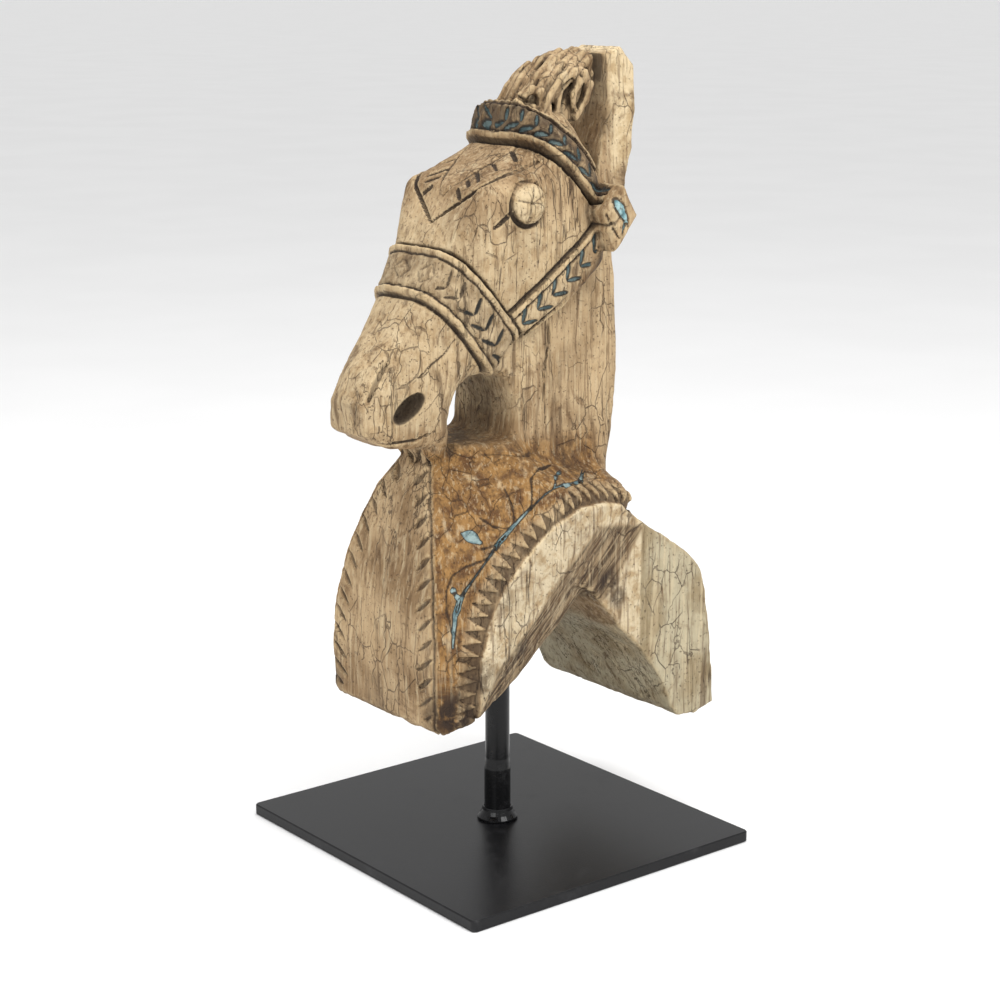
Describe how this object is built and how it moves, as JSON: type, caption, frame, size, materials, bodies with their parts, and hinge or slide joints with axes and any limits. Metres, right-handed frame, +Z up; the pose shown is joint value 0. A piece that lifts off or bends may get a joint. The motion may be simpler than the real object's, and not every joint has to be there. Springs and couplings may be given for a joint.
{
  "type": "carved wooden horse head sculpture on a stand",
  "caption": "Carved driftwood horse head and breast with bridle straps, held above a square steel plate by a round post.",
  "frame": {"origin": "middle of the base plate's underside", "axes": "+Z up, the horse faces -Y, its left side is +X"},
  "size_m": [0.262, 0.2711, 0.55],
  "materials": {
    "driftwood": "weathered carved wood with dark grain, pale worn edges and traces of turquoise paint",
    "blackened_steel": "satin black powder coat",
    "gloss_black_steel": "glossy black enamel"
  },
  "bodies": {
    "root": {"base_plate": "blackened_steel", "post": "blackened_steel", "foot_collar": "gloss_black_steel", "horse_carving": "driftwood"}
  },
  "joints": []
}
